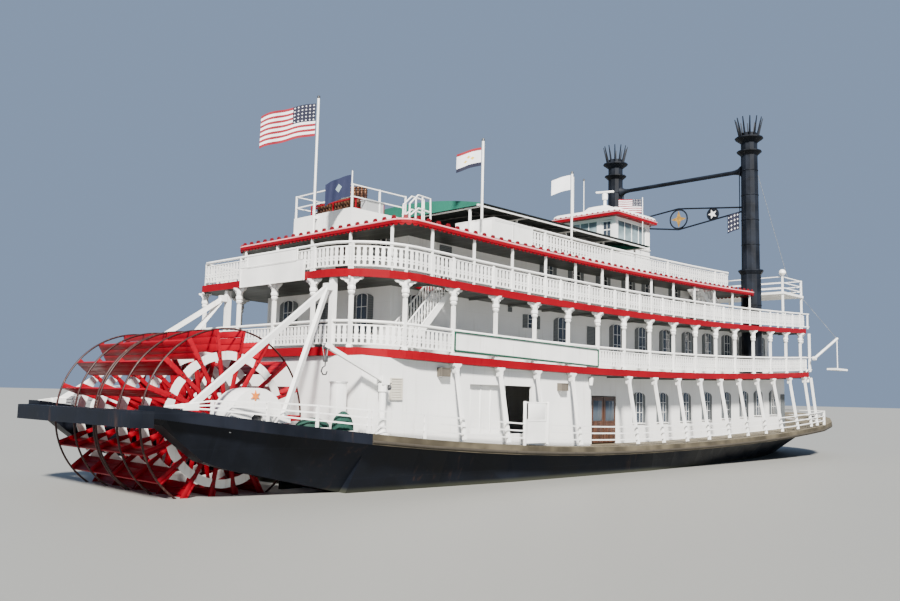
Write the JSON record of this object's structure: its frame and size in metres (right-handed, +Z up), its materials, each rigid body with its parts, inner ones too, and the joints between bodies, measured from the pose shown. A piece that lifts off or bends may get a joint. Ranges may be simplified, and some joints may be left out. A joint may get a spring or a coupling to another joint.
{
  "type": "1:10 scale model of a stern-wheel paddle steamer",
  "caption": "Stern-wheel river excursion steamer at 1:10: flat hull, decks with galleries, pilothouse, chimneys and a red paddle wheel between two stern arms.",
  "frame": {"origin": "on the flat bottom of the hull, on the centreline amidships", "axes": "+X towards the bow, +Y to port, +Z up"},
  "size_m": [5.42, 1.21, 2.1907],
  "materials": {
    "hull_paint": "satin, weathered at the waterline",
    "guard_timber": "painted and worn",
    "white_paint": "satin",
    "fascia_red": "gloss",
    "wheel_red": "gloss, wet at the rim",
    "chimney_black": "matte",
    "dark_steel": "oiled",
    "door_wood": "varnished",
    "pipe_brass": "tarnished",
    "awning_canvas": "matte canvas",
    "flag_cloth": "light bunting"
  },
  "bodies": {
    "ship": {"hull": "hull_paint", "main_deck_aft": "guard_timber", "main_deck_middle": "guard_timber", "foredeck": "guard_timber", "stern_arm_starboard": "hull_paint", "stern_arm_port": "hull_paint", "bearing_housing_starboard": "white_paint", "bearing_housing_port": "white_paint", "wheel_brace_starboard": "white_paint", "wheel_brace_port": "white_paint", "fantail_beam": "hull_paint", "main_house_aft": "white_paint", "main_house_fore": "white_paint", "boiler_deck": "fascia_red", "texas_deck": "fascia_red", "roof_deck": "fascia_red", "boiler_house": "white_paint", "texas_house": "white_paint", "main_gallery_starboard": "white_paint", "main_gallery_port": "white_paint", "stern_rail_starboard": "white_paint", "stern_rail_port": "white_paint", "bow_rail": "white_paint", "boiler_gallery_starboard": "white_paint", "boiler_gallery_port": "white_paint", "boiler_gallery_stern": "white_paint", "texas_gallery_starboard": "white_paint", "texas_gallery_port": "white_paint", "texas_gallery_stern": "white_paint", "chimney_starboard": "chimney_black", "chimney_port": "chimney_black", "chimney_spreader": "chimney_black", "roof_rail": "white_paint", "pilothouse": "white_paint", "pilothouse_roof": "fascia_red", "awning": "awning_canvas", "awning_frame": "white_paint", "calliope_house": "white_paint", "calliope_pipes": "pipe_brass", "bow_platform": "white_paint", "crane_post": "white_paint", "stair_aft": "white_paint", "stair_fore": "white_paint", "engine_block": "dark_steel", "flag_stern": "flag_cloth", "flag_middle": "flag_cloth"},
    "paddle_wheel": {"paddle_wheel": "wheel_red", "wheel_shaft": "dark_steel"},
    "rudder_starboard": {"rudder_starboard": "hull_paint"},
    "rudder_port": {"rudder_port": "hull_paint"},
    "crane_head": {"crane_head": "white_paint"},
    "crane_jib": {"crane_jib": "white_paint"},
    "bow_boom": {"bow_boom": "white_paint"},
    "cargo_door_starboard": {"cargo_door_starboard": "white_paint"},
    "cargo_door_port": {"cargo_door_port": "white_paint"},
    "passenger_door_aft_starboard": {"passenger_door_aft_starboard": "door_wood"},
    "passenger_door_fore_starboard": {"passenger_door_fore_starboard": "door_wood"},
    "passenger_door_aft_port": {"passenger_door_aft_port": "door_wood"},
    "passenger_door_fore_port": {"passenger_door_fore_port": "door_wood"},
    "pilothouse_door": {"pilothouse_door": "white_paint"}
  },
  "joints": [
    {"name": "paddle_wheel_turn", "type": "hinge", "parent": "ship", "child": "paddle_wheel", "pos_m": [-2.357, 0, 0.398], "axis": [0, 1, 0], "continuous": true},
    {"name": "steering_starboard", "type": "hinge", "parent": "ship", "child": "rudder_starboard", "pos_m": [-2.028, -0.25, 0.12], "axis": [0, 0, 1], "range_deg": [-35, 35]},
    {"name": "steering_port", "type": "hinge", "parent": "ship", "child": "rudder_port", "pos_m": [-2.028, 0.25, 0.12], "axis": [0, 0, 1], "range_deg": [-35, 35]},
    {"name": "crane_slew", "type": "hinge", "parent": "ship", "child": "crane_head", "pos_m": [-1.92, -0.555, 0.5], "axis": [0, 0, 1], "range_deg": [0, 140]},
    {"name": "crane_luff", "type": "hinge", "parent": "crane_head", "child": "crane_jib", "pos_m": [-1.92, -0.555, 0.535], "axis": [0, 1, 0], "range_deg": [-15, 40]},
    {"name": "bow_boom_luff", "type": "hinge", "parent": "ship", "child": "bow_boom", "pos_m": [1.69, -0.575, 0.778], "axis": [0, 1, 0], "range_deg": [-40, 15]},
    {"name": "cargo_door_slide_starboard", "type": "slide", "parent": "ship", "child": "cargo_door_starboard", "axis": [1, 0, 0], "range_m": [-0.2, 0]},
    {"name": "cargo_door_slide_port", "type": "slide", "parent": "ship", "child": "cargo_door_port", "axis": [1, 0, 0], "range_m": [-0.2, 0]},
    {"name": "passenger_door_aft_starboard_swing", "type": "hinge", "parent": "ship", "child": "passenger_door_aft_starboard", "pos_m": [-0.516, -0.418, 0.4], "axis": [0, 0, 1], "range_deg": [-90, 0]},
    {"name": "passenger_door_fore_starboard_swing", "type": "hinge", "parent": "ship", "child": "passenger_door_fore_starboard", "pos_m": [-0.318, -0.418, 0.4], "axis": [0, 0, 1], "range_deg": [0, 90]},
    {"name": "passenger_door_aft_port_swing", "type": "hinge", "parent": "ship", "child": "passenger_door_aft_port", "pos_m": [-0.516, 0.418, 0.4], "axis": [0, 0, 1], "range_deg": [0, 90]},
    {"name": "passenger_door_fore_port_swing", "type": "hinge", "parent": "ship", "child": "passenger_door_fore_port", "pos_m": [-0.318, 0.418, 0.4], "axis": [0, 0, 1], "range_deg": [-90, 0]},
    {"name": "pilothouse_door_swing", "type": "hinge", "parent": "ship", "child": "pilothouse_door", "pos_m": [0.042, -0.156, 1.36], "axis": [0, 0, 1], "range_deg": [0, 100]}
  ],
  "couplings": [
    {"joint": "steering_port", "follows": "steering_starboard", "ratio": 1}
  ]
}
